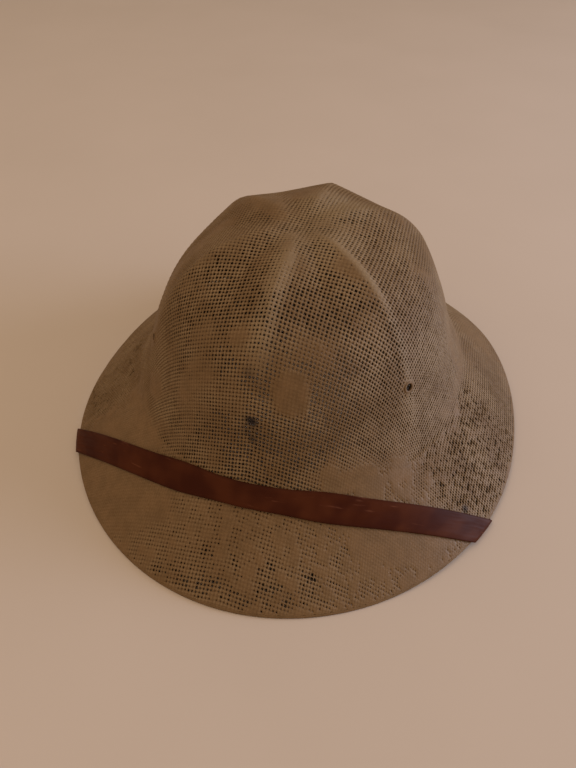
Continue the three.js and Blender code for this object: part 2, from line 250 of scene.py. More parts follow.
def makeClothMaterial():
    look = clothLook
    material, tree, shader = newMaterial("stiffenedJuteCloth")
    place = addNode(tree, "ShaderNodeTexCoord", out="Object")
    filled, stain, crest, within = [
        addNode(tree, "ShaderNodeAttribute", out="Fac", attribute_name=name)
        for name in ("filled", "stain", "worn", "within")]
    patch, blotch, grain = [
        addNode(tree, "ShaderNodeTexNoise", {"Vector": place, "Scale": 1 / (look[name] * mm),
                "Detail": detail, "Roughness": rough})
        for name, detail, rough in (("patch", 3, 0.6), ("blotch", 2, 0.55), ("grain", 2, 0.6))]

    # Height of the threads, which have their middles at whole numbers of the weave's own u and v
    threads = addNode(tree, "ShaderNodeUVMap", uv_map="weave")
    axes = addNode(tree, "ShaderNodeSeparateXYZ", {0: threads}).node.outputs
    waves, tops = [], []
    for axis in (axes[0], axes[1]):
        turn = addNode(tree, "ShaderNodeMath", {0: axis, 1: math.pi}, operation="MULTIPLY")
        waves.append(addNode(tree, "ShaderNodeMath", {0: turn}, operation="COSINE"))
        size = addNode(tree, "ShaderNodeMath", {0: waves[-1]}, operation="ABSOLUTE")
        tops.append(addNode(tree, "ShaderNodeMath", {0: size, 1: look["threadShape"]},
                            operation="POWER"))
    over = addNode(tree, "ShaderNodeMath", {0: waves[0], 1: waves[1]}, operation="MULTIPLY")
    over = addNode(tree, "ShaderNodeMath", {0: over, 1: 0.5, 2: 0.5}, operation="MULTIPLY_ADD")
    height = addNode(tree, "ShaderNodeMix", {0: over, 2: tops[1], 3: tops[0]})

    ramps = {}
    for name, source, low, high, least, most in (
            ("pale", patch, 0.35, 0.68, 0, 1), ("brown", blotch, 0.5, 0.75, 0, 0.45),
            ("raised", height, 0.15, 0.75, 0, 1), ("top", height, 0.75, 1, 0, 1),
            ("rubbed", patch, 0.4, 0.62, 0.1, 0.5), ("sizePale", blotch, 0.3, 0.7, 0, 1),
            ("dust", grain, 0.35, 0.75, 0, 0.28), ("wall", within, 0.05, 0.8, 0, 0.72),
            ("rough", grain, 0.3, 0.7, 0.55, 0.75)):
        ramps[name] = addNode(tree, "ShaderNodeMapRange", {0: source, 1: low, 2: high, 3: least,
                              4: most}, interpolation_type="SMOOTHSTEP")
    rubbed = addNode(tree, "ShaderNodeMath", {0: ramps["top"], 1: ramps["rubbed"]}, operation="MULTIPLY")
    sized = addNode(tree, "ShaderNodeMath", {0: filled, 1: look["sizeShare"]}, operation="MULTIPLY",
                    use_clamp=True)
    # The crests and rubbed places are paled towards crest, partly wear and partly painted highlight
    crestWearAndHighlight = addNode(tree, "ShaderNodeMath", {0: crest, 1: look["crestShare"]}, operation="MULTIPLY")

    # Each row lays one colour over another: name, share, what is under, what is over
    layers = {}
    for name, share, *ends in (
            ("threads", ramps["pale"], look["thread"], look["threadPale"]),
            ("browned", ramps["brown"], "threads", look["threadBrown"]),
            # Painted shade: the low places between the threads are darkened towards between
            ("low", look["lowShare"], "browned", look["between"]),
            ("raised", ramps["raised"], "low", "browned"),
            ("worn", rubbed, "raised", look["top"]),
            ("size", ramps["sizePale"], look["size"], look["sizePale"]),
            ("cloth", sized, "worn", "size"),
            ("crested", crestWearAndHighlight, "cloth", look["crest"]),
            ("dusty", ramps["dust"], "crested", look["dust"]),
            # Painted shade: the hole walls and the cloth deep in its thickness are darkened towards wall
            ("walled", ramps["wall"], "dusty", look["wall"]),
            ("stained", stain, "walled", look["stain"])):
        under, over = [layers[end] if end in layers else linear(end) for end in ends]
        layers[name] = addNode(tree, "ShaderNodeMix", {0: share, 6: under, 7: over}, out=2,
                               data_type="RGBA")

    bare = addNode(tree, "ShaderNodeMath", {0: filled, 1: -look["smoothed"], 2: 1.0},
                   operation="MULTIPLY_ADD")
    relief = addNode(tree, "ShaderNodeMath", {0: height, 1: bare}, operation="MULTIPLY")
    relief = addNode(tree, "ShaderNodeMath", {0: grain, 1: look["grainHeight"], 2: relief},
                     operation="MULTIPLY_ADD")
    bump = addNode(tree, "ShaderNodeBump", {"Height": relief, "Strength": look["bumpStrength"],
                   "Distance": look["bumpHeight"] * mm})
    tree.links.new(layers["stained"], shader["Base Color"])
    tree.links.new(ramps["rough"], shader["Roughness"])
    tree.links.new(bump, shader["Normal"])
    shader["Specular IOR Level"].default_value = look["specular"]
    return material


# Pigmented leather, smooth finished: an even red-brown film with a low sheen, fine grain, pale
# scuffs that run along it, and edges a little darker where the finish is rolled over the cut.
leatherLook = dict(
    dark="#3a170b", light="#4b2412", rubbed="#80513c", edge="#2a1008",
    blotch=22, scuff=1.8, pore=0.7, edgeWidth=1.6,  # widths in millimetres
    scuffStretch=0.12, scuffRise=0.24,  # a scuff's width for its length, and how much it is rubbed
    edgeShare=0.3, poreDepth=0.05, bumpStrength=0.2, specular=0.06,
)


def makeLeatherMaterial():
    look = leatherLook
    material, tree, shader = newMaterial("pigmentedLeather")
    along = addNode(tree, "ShaderNodeUVMap", uv_map="strap")  # millimetres along and across
    place = addNode(tree, "ShaderNodeTexCoord", out="Object")
    scuffed = addNode(tree, "ShaderNodeAttribute", out="Fac", attribute_name="scuffed")
    stretched = addNode(tree, "ShaderNodeMapping", {0: along, 3: (look["scuffStretch"], 1.0, 1.0)})
    scuffs = addNode(tree, "ShaderNodeTexNoise", {"Vector": stretched, "Scale": 1 / look["scuff"],
                     "Detail": 3.0})
    blotches = addNode(tree, "ShaderNodeTexNoise", {"Vector": along, "Scale": 1 / look["blotch"],
                       "Detail": 2.0})
    pores = addNode(tree, "ShaderNodeTexVoronoi", {"Vector": place, "Scale": 1 / (look["pore"] * mm)})
    across = addNode(tree, "ShaderNodeSeparateXYZ", {0: along}, out=1)
    across = addNode(tree, "ShaderNodeMath", {0: across}, operation="ABSOLUTE")
    rubbing = addNode(tree, "ShaderNodeMath", {0: scuffed, 1: look["scuffRise"], 2: scuffs},
                      operation="MULTIPLY_ADD")
    half = strap["width"] / 2
    ramps = {}
    for name, source, low, high, least, most in (
            ("tone", blotches, 0.35, 0.65, 0, 1), ("rub", rubbing, 0.62, 0.8, 0, 0.45),
            ("edge", across, half - look["edgeWidth"], half - 0.3, 0, look["edgeShare"]),
            ("gloss", scuffs, 0.3, 0.8, 0.4, 0.62)):
        ramps[name] = addNode(tree, "ShaderNodeMapRange", {0: source, 1: low, 2: high, 3: least,
                              4: most}, interpolation_type="SMOOTHSTEP")
    colour = linear(look["dark"])
    for share, over in (("tone", "light"), ("rub", "rubbed"), ("edge", "edge")):
        colour = addNode(tree, "ShaderNodeMix", {0: ramps[share], 6: colour, 7: linear(look[over])},
                         out=2, data_type="RGBA")
    bump = addNode(tree, "ShaderNodeBump", {"Height": pores, "Strength": look["bumpStrength"],
                   "Distance": look["poreDepth"] * mm})
    tree.links.new(colour, shader["Base Color"])
    tree.links.new(ramps["gloss"], shader["Roughness"])
    tree.links.new(bump, shader["Normal"])
    shader["Specular IOR Level"].default_value = look["specular"]
    return material


# Stamped brass, dulled by handling: brown tarnish in blotches over a soft metal shine.
brassLook = dict(metal="#a88a4e", tarnish="#5b4524", blotch=2.5, smoothest=0.3, roughest=0.6)


def makeBrassMaterial():
    look = brassLook
    material, tree, shader = newMaterial("tarnishedBrass")
    place = addNode(tree, "ShaderNodeTexCoord", out="Object")
    tarnish = addNode(tree, "ShaderNodeTexNoise", {"Vector": place, "Scale": 1 / (look["blotch"] * mm),
                      "Detail": 4.0})
    mixed = addNode(tree, "ShaderNodeMix", {0: tarnish, 6: linear(look["metal"]),
                    7: linear(look["tarnish"])}, out=2, data_type="RGBA")
    rough = addNode(tree, "ShaderNodeMapRange", {0: tarnish, 1: 0.3, 2: 0.7, 3: look["smoothest"],
                    4: look["roughest"]})
    tree.links.new(mixed, shader["Base Color"])
    tree.links.new(rough, shader["Roughness"])
    shader["Metallic"].default_value = 1.0
    return material


# Painted table top: matte, pale and warm, with a faint unevenness.
tableLook = dict(pale="#d2c7be", warm="#cabfb5", cloud=170, roughness=0.8, specular=0.25, halfSide=3)


def makeTableMaterial():
    look = tableLook
    material, tree, shader = newMaterial("paintedTableTop")
    place = addNode(tree, "ShaderNodeTexCoord", out="Object")
    cloud = addNode(tree, "ShaderNodeTexNoise", {"Vector": place, "Scale": 1 / (look["cloud"] * mm),
                    "Detail": 3.0})
    mixed = addNode(tree, "ShaderNodeMix", {0: cloud, 6: linear(look["pale"]), 7: linear(look["warm"])},
                    out=2, data_type="RGBA")
    tree.links.new(mixed, shader["Base Color"])
    shader["Roughness"].default_value = look["roughness"]
    shader["Specular IOR Level"].default_value = look["specular"]
    return material


# The weave, in millimetres unless a share of one cell
weave = dict(
    pitch=2.2,         # thread to thread, eleven or twelve threads to the inch
    thread=1.5,        # thickness of the cloth
    smallest=0.13,     # holes smaller than this are shut
    wander=0.05,       # how far a hole lies off its middle, in cells
    roundness=0.24,    # how far a hole's lip lies below the thread's top
    relief=0.1,        # how far a thread rises and dips as it goes over and under
    flattened=0.75,    # how much of that a filled place loses
    squeeze=0.8,       # how much the cloth shears where it is pressed in, 1 is all
    halfSide=260,      # half the side of the flat cloth
    edgeStation=1.99,  # where the cloth ends, inside the rolled edge
    crownEnd=1.04,     # where the crown's pieces meet the brim's
    seed=7,
)
# The side of each piece's open holes, in cells, how far it is filled all over and at random, the
# width of the filled places, and how unequal its holes are
pieces = dict(
    weave_crown_front=dict(holeShare=0.53, sizing=0.0, clogging=0.4, clogSize=15, variation=0.38),
    weave_crown_back=dict(holeShare=0.53, sizing=0.1, clogging=0.6, clogSize=15, variation=0.38),
    weave_brim_front=dict(holeShare=0.64, sizing=0.56, clogging=0.7, clogSize=8, variation=0.65),
    weave_brim_back=dict(holeShare=0.55, sizing=0.15, clogging=0.5, clogSize=12, variation=0.45),
)
# Places where the stiffener has filled the cloth (share above 0) or left it open (below 0):
# x, y, z, radius, share
fills = [
    (-98, -98, 14, 30, 1.0), (-78, -112, 16, 30, 1.0), (-54, -120, 24, 18, 0.5),
    (-72, -88, 38, 16, 1.0), (-84, -66, 46, 14, 0.8), (-73, -50, 83, 14, 0.9),
    (-68, -70, 60, 11, 0.9), (-66, -26, 108, 12, 0.9), (-60, -14, 118, 12, 0.9),
    (-50, 2, 125, 12, 0.8), (-33, -75, 106, 9, 0.4), (-31, -85, 90, 12, 0.6),
    (-38, -86, 76, 13, 0.5), (-14, -92, 84, 11, 0.4), (-12, -76, 112, 8, 0.5),
    (-28, 22, 133, 14, 1.0), (-12, 42, 132, 14, 0.9), (-4, -14, 136, 5.5, 0.9),
    (-2, -24, 137, 5.5, 0.9), (1, -34, 136, 4.5, 0.8), (28, -30, 132, 6, 0.8),
    (37, -33, 130, 5.5, 0.8), (44, -39, 124, 5, 0.5), (28, -70, 115, 10, 0.35),
    (18.5, -86, 95, 10, 1.6), (18.5, -88, 87, 10.5, 1.6), (44, -96, 45, 12, 0.9),
    (60, -87, 43, 12, 1.0), (75, -76, 43, 10, 0.8), (88, 21, 70, 16, 0.3),
    (107, 80, 20, 24, 0.8), (70, -112, 20, 22, 0.3), (96, -100, 14, 24, 0.3),
    (-35, -151, 5, 9, -0.34), (-21, -152, 5, 10, -0.32), (-8, -154, 6, 11, -0.34),
    (8, -154, 6, 10, -0.3), (22, -151, 7, 10, -0.4), (34, -147, 8, 10, -0.38), (49, -140, 9, 9, -0.3),
    (-12, -140, 17, 4.5, -0.46), (5, -140, 17, 5, -0.44), (-3, -149, 10, 4, -0.4),
    (21, -140, 16, 6, -0.44), (43, -136, 14, 6, -0.34), (56, -123, 20, 7, -0.34),
    (128, -40, 12, 44, -1.1), (130, 10, 14, 30, -0.7), (104, -56, 30, 28, -0.55),
    (110, -8, 33, 15, -0.9), (124, 30, 19, 20, -0.5),
    (-120, -40, 22, 34, -1.1), (-114, 0, 30, 30, -0.5), (26, -52, 127, 20, -0.5),
    (-24, -50, 127, 20, -0.5), (20, -98, 66, 26, -0.5), (46, -82, 82, 22, -0.5),
    (74, -40, 92, 36, -0.5), (-6, -100, 62, 18, -0.5), (-46, -60, 108, 14, -0.4),
    (40, 0, 130, 26, -0.5), (-6, -60, 122, 14, -0.4),
]
# Size that has run down to the crown's foot, round the back: degrees from and to, in stations
foot = dict(start=72, finish=250, softness=14, station=0.99, half=0.06, fill=0.6)
# Filled crests, and crests paled partly by wear and partly by painted highlight: the rib's azimuth, stations
# from start to finish, half width, fill, and wear with painted highlight
crestColumns = ("azimuth", "start", "finish", "half", "fill", "wear")
crests = [dict(zip(crestColumns, row)) for row in (
    (0, 0.06, 0.6, 6.5, 0.2, 0.75),
    (55, 0.05, 0.5, 2.3, 0.95, 0.9),
    (55, 0.3, 0.95, 3, 0.3, 0.45),
    (-55, 0.1, 0.7, 3, 0.25, 0.15),
    (132, 0.1, 0.7, 3, 0.3, 0.15),
    (-124, 0.1, 0.7, 3, 0.3, 0.15),
    (180, 0.1, 0.7, 3, 0.3, 0.15),
)]
# Paler places on the crown's top besides the crests, partly rubbing and partly painted highlight: x, y, z,
# radius, depth
rubsAndHighlights = [(10, -12, 137, 26, 0.5), (30, -8, 133, 16, 0.2), (14, 27, 135, 24, 0.9)]
# Stains on the cloth: x, y, z, radius, depth
stains = [
    (0.4, -95.6, 75.7, 3.2, 0.9), (0.9, -99.3, 65.5, 2.6, 0.7), (-2.4, -95.2, 77, 2.4, 0.6),
    (-1, -97, 71, 6, 0.3), (-3.5, -84, 99.5, 4.5, 0.4), (115.6, -71.6, 13.8, 3.0, 0.9),
    (112, -68, 16, 2.2, 0.5), (-64, -112, 22, 2.0, 0.3), (52, -128, 15, 2.0, 0.3),
    (96, -84, 18, 2.4, 0.3),
]
# Vent hole in each front quarter: bore and rim are radii. Cells nearer than cutOut to its middle are
# left out, those nearer than firm are filled, and the cloth stands off the bore by clear.
vents = dict(azimuth=54.5, station=0.708, bore=2.0, rim=3.4, rise=0.35, cutOut=2.1, firm=3.2, clear=0.7,
             sides=28, ringPoints=12)


# The drape's columns in degrees, its rows and its end in millimetres, the stations that it is worked
# out from, and the rounds that settle the shear
drapeTable = dict(column=0.5, row=0.5, end=270, lastStation=2.3, stations=1151, rounds=14)


# A meridian's length from the top to each station, so that a thread keeps its length when draped
def makeDrape():
    azimuths = np.radians(np.arange(-180, 180.1, drapeTable["column"]))
    stations = np.linspace(0, drapeTable["lastStation"], drapeTable["stations"])
    points = shellPoint(azimuths[:, None], stations[None, :])
    steps = np.linalg.norm(np.diff(points, axis=1), axis=2)
    lengths = np.concatenate([np.zeros((len(azimuths), 1)), np.cumsum(steps, axis=1)], axis=1)
    reach = np.arange(0, drapeTable["end"], drapeTable["row"])
    stationAt = np.array([np.interp(reach, row, stations) for row in lengths])
    radius = np.hypot(points[..., 0], points[..., 1])
    meanRadius = np.mean([np.interp(reach, row, r) for row, r in zip(lengths, radius)], axis=0)
    shear = weave["squeeze"] * (1 - meanRadius / np.maximum(reach, drapeTable["row"]))
    return reach, stationAt, np.clip(shear, 0, 0.9)


# Azimuth and station of a point of the flat cloth, u to the wearer's left and v to the front, in mm
def drape(u, v):
    s = np.hypot(u, v)
    around = np.arctan2(u, v)
    k = np.interp(s, reach, shear)
    azimuth = around.copy()
    for _ in range(drapeTable["rounds"]):
        azimuth = around + k * np.sin(4 * azimuth) / 4
    column = (np.degrees(azimuth) + 180) / drapeTable["column"]
    row = np.minimum(s / drapeTable["row"], len(reach) - 1.001)
    i, j = np.floor(column).astype(int) % (len(stationAt) - 1), np.floor(row).astype(int)
    a, b = column - np.floor(column), row - j
    station = ((1 - a) * (1 - b) * stationAt[i, j] + a * (1 - b) * stationAt[i + 1, j]
               + (1 - a) * b * stationAt[i, j + 1] + a * b * stationAt[i + 1, j + 1])
    return azimuth, station


def patchwork(points, table):
    total = np.zeros(len(points))
    for x, y, z, radius, share in table:
        distance = np.linalg.norm(points - (x, y, z), axis=1)
        total += share * (1 - smooth(0.3 * radius, 1.25 * radius, distance))
    return total


def ventPlaces():
    azimuths = np.radians([-vents["azimuth"], vents["azimuth"]])
    return shellPoint(azimuths, vents["station"]), shellNormal(azimuths, vents["station"])


# Fill, and wear with painted highlight, along the ribs' crests: whichever column is asked for, the most of
# any crest at each point
def alongCrests(points, column):
    total = np.zeros(len(points))
    for crest in crests:
        for t in np.linspace(0, 1, 40):
            station = crest["start"] + (crest["finish"] - crest["start"]) * t
            place = shellPoint(math.radians(crest["azimuth"]), station)
            share = crest[column] * min(1, 4 * t, 3 * (1 - t))  # fades in quickly and out slowly
            distance = np.linalg.norm(points - place, axis=1) / crest["half"]
            total = np.maximum(total, share * (1 - smooth(0.4, 1.5, distance)))
    return total


# How far each cell is filled by the charted places, the crests and the crown's foot
def chartFill(centres, azimuth, station):
    turn = np.degrees(azimuth) % 360
    start, finish, softness = foot["start"], foot["finish"], foot["softness"]
    along = smooth(start - softness, start + softness, turn)
    along = along * (1 - smooth(finish - softness, finish + softness, turn))
    near = 1 - smooth(0.4, 1.3, np.abs(station - foot["station"]) / foot["half"])
    return patchwork(centres, fills) + alongCrests(centres, "fill") + foot["fill"] * along * near


# The cloth as a grid of cells in threads, one face a cell, for the cells that a test keeps
def makeFlatCloth(name, keep):
    pitch, edgeStation = weave["pitch"], weave["edgeStation"]
    count = int(weave["halfSide"] / pitch)
    line = np.arange(-count, count + 1)
    u, v = [grid.ravel().astype(float) for grid in np.meshgrid(line, line, indexing="ij")]
    side = len(line)
    azimuth, station = drape(u * pitch, v * pitch)
    points = shellPoint(azimuth, np.minimum(station, edgeStation))
    corner = (np.arange(side - 1)[:, None] * side + np.arange(side - 1)[None, :]).ravel()
    cells = np.stack([corner, corner + side, corner + side + 1, corner + 1], axis=1)
    around, middle = drape(u[cells].mean(1) * pitch, v[cells].mean(1) * pitch)
    centres = points[cells].mean(1)
    kept = keep(v[cells].mean(1), middle) & (middle < 2.0)
    ventPoints = ventPlaces()[0]
    for point in ventPoints:
        kept &= np.linalg.norm(centres - point, axis=1) > vents["cutOut"]
    cells, centres, around, middle = cells[kept], centres[kept], around[kept], middle[kept]
    filled = chartFill(centres, around, middle)
    firm = (station[cells] > edgeStation).any(1)
    for point in ventPoints:
        firm |= np.linalg.norm(points[cells] - point, axis=2).min(1) < vents["firm"]
    filled[firm] = 3  # more than any open place takes away
    used, faces = np.unique(cells, return_inverse=True)
    flat = np.stack([u[used], v[used], 0 * u[used]], axis=1)
    obj = addMesh(name, flat, faces.reshape(-1, 4).tolist(), None)
    mesh = obj.data
    storeValues(mesh, "FACE", charted=filled)
    uses = np.bincount(readValues(mesh.loops, "edge_index"), minlength=len(mesh.edges))
    pairs = readValues(mesh.edges, "vertices", width=2).reshape(-1, 2)
    seam = np.zeros(len(mesh.vertices))
    seam[pairs[uses == 1].ravel()] = 1
    storeValues(mesh, seam=seam)
    return obj


# The tree that opens the cells of a flat cloth. Its lengths are in threads, before the draping. The
# values come from weave and pieces, where Hole Share is holeShare and so on.
weaveInputs = ("Hole Share", "Smallest", "Variation", "Wander", "Sizing", "Clogging", "Clog Size",
               "Roundness")


def makeWeaveTree():
    tree = bpy.data.node_groups.new("openWeave", "GeometryNodeTree")
    sockets = [("Geometry", "Geometry")] + [(name, "Float") for name in weaveInputs]
    for name, kind in sockets + [("Seed", "Int"), ("Material", "Material")]:
        tree.interface.new_socket(name, in_out="INPUT", socket_type="NodeSocket" + kind)
    tree.interface.new_socket("Geometry", in_out="OUTPUT", socket_type="NodeSocketGeometry")
    given = addNode(tree, "NodeGroupInput").node.outputs

    # How far each cell is filled: wholly where the noise is high, and by the chart
    place = addNode(tree, "GeometryNodeInputPosition")
    turn = addNode(tree, "ShaderNodeMath", {0: given["Seed"], 1: 1.7}, operation="MULTIPLY")
    scale = addNode(tree, "ShaderNodeMath", {0: 1.0, 1: given["Clog Size"]}, operation="DIVIDE")
    clogs = addNode(tree, "ShaderNodeTexNoise", {"Vector": place, "W": turn, "Scale": scale,
                    "Detail": 2.0, "Roughness": 0.55}, noise_dimensions="4D")
    random = addNode(tree, "ShaderNodeMapRange", {0: clogs, 1: 0.47, 2: 0.62},
                     interpolation_type="SMOOTHSTEP")
    charted = addNode(tree, "GeometryNodeInputNamedAttribute", {"Name": "charted"}, data_type="FLOAT")
    filled = addNode(tree, "ShaderNodeMath", {0: random, 1: given["Clogging"], 2: charted},
                     operation="MULTIPLY_ADD")
    filled = addNode(tree, "ShaderNodeMath", {0: filled, 1: given["Sizing"]}, operation="ADD")
    filled = addNode(tree, "ShaderNodeClamp", {0: filled, 1: -0.06, 2: 1.0})

    # How wide its hole is: most are narrower than the share, and a few wider
    size = addNode(tree, "FunctionNodeRandomValue", {2: -1.0, 3: 0.4, "Seed": given["Seed"]}, out=1,
                   data_type="FLOAT")
    uneven = addNode(tree, "ShaderNodeMath", {0: size, 1: given["Variation"], 2: 1.0},
                     operation="MULTIPLY_ADD")
    bare = addNode(tree, "ShaderNodeMath", {0: 1.0, 1: filled}, operation="SUBTRACT")
    share = addNode(tree, "ShaderNodeMath", {0: given["Hole Share"], 1: uneven}, operation="MULTIPLY")
    share = addNode(tree, "ShaderNodeMath", {0: share, 1: bare}, operation="MULTIPLY")
    mesh = given["Geometry"]
    for name, value in (("filled", filled), ("share", share)):
        mesh = addNode(tree, "GeometryNodeStoreNamedAttribute", {"Geometry": mesh, "Name": name,
                       "Value": value}, data_type="FLOAT", domain="FACE")

    # The hole: an inner face drawn in, moved a little, sunk below the threads' tops and taken out
    width = addNode(tree, "GeometryNodeInputNamedAttribute", {"Name": "share"}, data_type="FLOAT")
    opened = addNode(tree, "FunctionNodeCompare", {0: width, 1: given["Smallest"]}, data_type="FLOAT",
                     operation="GREATER_THAN")
    inner = addNode(tree, "GeometryNodeExtrudeMesh", {"Mesh": mesh, "Selection": opened,
                    "Offset Scale": 0.0, "Individual": True}, mode="FACES").node.outputs
    scaled = addNode(tree, "GeometryNodeScaleElements", {"Geometry": inner["Mesh"],
                     "Selection": inner["Top"], "Scale": width}, domain="FACE")
    nextSeed = addNode(tree, "ShaderNodeMath", {0: given["Seed"], 1: 1.0}, operation="ADD")
    shift = addNode(tree, "FunctionNodeRandomValue", {0: (-1.0, -1.0, 0.0), 1: (1.0, 1.0, 0.0),
                    "Seed": nextSeed}, data_type="FLOAT_VECTOR")
    shift = addNode(tree, "ShaderNodeVectorMath", {0: shift, "Scale": given["Wander"]},
                    operation="SCALE")
    down = addNode(tree, "ShaderNodeMath", {0: given["Roundness"], 1: -1.0}, operation="MULTIPLY")
    down = addNode(tree, "ShaderNodeCombineXYZ", {"Z": down})
    offset = addNode(tree, "ShaderNodeVectorMath", {0: shift, 1: down}, operation="ADD")
    lipped = addNode(tree, "GeometryNodeSetPosition", {"Geometry": scaled, "Selection": inner["Top"],
                     "Offset": offset})
    holes = addNode(tree, "GeometryNodeDeleteGeometry", {"Geometry": lipped, "Selection": inner["Top"]},
                    domain="FACE", mode="ONLY_FACE")
    real = addNode(tree, "GeometryNodeRealizeInstances", {0: holes})
    named = addNode(tree, "GeometryNodeSetMaterial", {"Geometry": real, "Material": given["Material"]})
    addNode(tree, "NodeGroupOutput", {0: named})
    return tree


def openCloth(obj, name):
    values = {**weave, **pieces[name]}
    modifier = obj.modifiers.new("openWeave", "NODES")
    modifier.node_group = weaveTree
    for item in weaveTree.interface.items_tree:
        if item.name in weaveInputs:
            value = values[item.name[0].lower() + item.name[1:].replace(" ", "")]
            inThreads = item.name in ("Clog Size", "Roundness")
            modifier[item.identifier] = float(value / (weave["pitch"] if inThreads else 1))
        elif item.name == "Seed":
            modifier[item.identifier] = weave["seed"]
        elif item.name == "Material":
            modifier[item.identifier] = cloth
    walls = obj.modifiers.new("thread", "SOLIDIFY")
    walls.thickness = weave["thread"] / weave["pitch"]
    walls.offset = -1
    result = bpy.data.meshes.new_from_object(obj.evaluated_get(bpy.context.evaluated_depsgraph_get()))
    obj.modifiers.clear()
    obj.data = result
    result.name = name
    return result


def makeWeave(name, keep):
    obj = makeFlatCloth(name, keep)
    mesh = openCloth(obj, name)
    pitch = weave["pitch"]
    flat = readValues(mesh.vertices, "co", np.float32, 3).reshape(-1, 3).astype(float)
    azimuth, station = drape(flat[:, 0] * pitch, flat[:, 1] * pitch)
    station = np.minimum(station, weave["edgeStation"])
    points, normals = shellPoint(azimuth, station), shellNormal(azimuth, station)

    # Each point is filled as the faces round it are on average
    corners = readValues(mesh.loops, "vertex_index")
    faceFill = readValues(mesh.attributes["filled"].data, "value", np.float32)
    sizes = readValues(mesh.polygons, "loop_total")
    uses = np.bincount(corners, None, len(flat))
    filled = np.clip(np.bincount(corners, np.repeat(faceFill, sizes), len(flat)) / uses, 0, 1)
    seam = readValues(mesh.attributes["seam"].data, "value", np.float32)
    for label in ("filled", "share", "charted", "seam"):
        mesh.attributes.remove(mesh.attributes[label])

    overUnder = np.cos(np.pi * flat[:, 0]) * np.cos(np.pi * flat[:, 1])
    swell = weave["relief"] * overUnder * (1 - weave["flattened"] * filled) * (seam < 0.5)
    depth = flat[:, 2] * pitch + swell
    clear = vents["bore"] + vents["clear"]
    for centre in ventPlaces()[0]:
        away = points - centre
        distance = np.linalg.norm(away, axis=1)
        near = distance < clear
        points[near] = centre + away[near] / distance[near, None] * clear
    placed = (points + normals * depth[:, None]) * mm
    mesh.vertices.foreach_set("co", placed.astype(np.float32).ravel())

    # Paleness at the crests and rubbed places: partly wear, partly painted highlight
    worn = np.maximum(alongCrests(points, "wear"), np.clip(patchwork(points, rubsAndHighlights), 0, 1))
    # within, the depth into the cloth, carries painted shade on the hole walls and the inside
    storeValues(mesh, stain=np.clip(patchwork(points, stains), 0, 1), worn=worn, filled=filled,
                within=np.clip(-flat[:, 2] * pitch / weave["thread"], 0, 1))
    layer = mesh.uv_layers.new(name="weave")
    layer.data.foreach_set("uv", flat[corners, :2].astype(np.float32).ravel())
    pairs = readValues(mesh.edges, "vertices", width=2).reshape(-1, 2)
    sharp = (seam[pairs] > 0.5).all(1)
    attribute = mesh.attributes.get("sharp_edge") or mesh.attributes.new("sharp_edge", "BOOLEAN", "EDGE")
    attribute.data.foreach_set("value", sharp)
    mesh.polygons.foreach_set("use_smooth", [True] * len(mesh.polygons))
    mesh.update()
    finishPiece(obj, "woven_shell", "shell")
    print(f"{name}: {sum(len(p.vertices) - 2 for p in mesh.polygons)} triangles")


cloth, brass = makeClothMaterial(), makeBrassMaterial()
reach, stationAt, shear = makeDrape()
weaveTree = makeWeaveTree()
for part in ("crown", "brim"):
    for side, sign in (("front", 1), ("back", -1)):
        makeWeave(f"weave_{part}_{side}", lambda v, station: (v * sign > 0)
                  & ((station < weave["crownEnd"]) == (part == "crown")))
print("cloth draped")


# The brim's rolled edge: square runs from a round (0) to a square section (1), and it leans as the
# brim does
edgeRoll = dict(width=1.5, height=1.85, segments=300, sides=12, square=0.3, lean=0.21)


def finishTrim(obj, within=None):
    mesh = obj.data
    count = len(mesh.vertices)
    storeValues(mesh, filled=[1.0] * count, within=within or [0.0] * count)
    layer = mesh.uv_layers.new(name="weave")
    layer.data.foreach_set("uv", [0.25] * (2 * len(mesh.loops)))
    finishPiece(obj, "woven_shell", "shell")


def makeEdgeRoll():
    width, height, n, m = [edgeRoll[key] for key in ("width", "height", "segments", "sides")]
    azimuth = np.linspace(0, 2 * np.pi, n, endpoint=False)[:, None]
    turn = np.linspace(0, 2 * np.pi, m, endpoint=False)[None, :]
    cos, sin = np.cos(turn), np.sin(turn)
    power = 1 - edgeRoll["square"]
    across = np.sign(cos) * np.abs(cos) ** power * width / 2
    upward = np.sign(sin) * np.abs(sin) ** power * height / 2
    r = brimOutline(azimuth) - width / 2 + across
    z = edgeLift(azimuth) + height / 2 + upward + edgeRoll["lean"] * (width / 2 - across)
    points = np.stack([np.sin(azimuth) * r, -np.cos(azimuth) * r, z], axis=-1).reshape(-1, 3) * mm
    finishTrim(addMesh("brim_edge", points, ringFaces(n, m, closed=True), cloth))


def makeVentRim(name, centre, axis):
    sides, ringPoints = vents["sides"], vents["ringPoints"]
    across = unit(np.cross(axis, (0, 0, 1)))
    upward = np.cross(axis, across)
    middle, half = (vents["rim"] + vents["bore"]) / 2, (vents["rim"] - vents["bore"]) / 2
    points, within = [], []
    for i in range(sides):
        turn = 2 * math.pi * i / sides
        out = across * math.cos(turn) + upward * math.sin(turn)
        for j in range(ringPoints):
            bend = 2 * math.pi * j / ringPoints
            height = math.sin(bend)
            # The bore's wall is in shade from its lip down
            within.append(max(0.0, 0.4 - height if math.cos(bend) < -0.2 else -height))
            height = height * vents["rise"] if height > 0 else height * weave["thread"]
            points.append(centre + out * (middle + half * math.cos(bend)) + axis * height)
    faces = [(a, d, c, b) for a, b, c, d in ringFaces(sides, ringPoints, closed=True)]
    finishTrim(addMesh(name, np.array(points) * mm, faces, cloth), within)


makeEdgeRoll()
for name, centre, axis in zip(("vent_rim_right", "vent_rim_left"), *ventPlaces()):
    makeVentRim(name, centre, axis)
print("edges made")

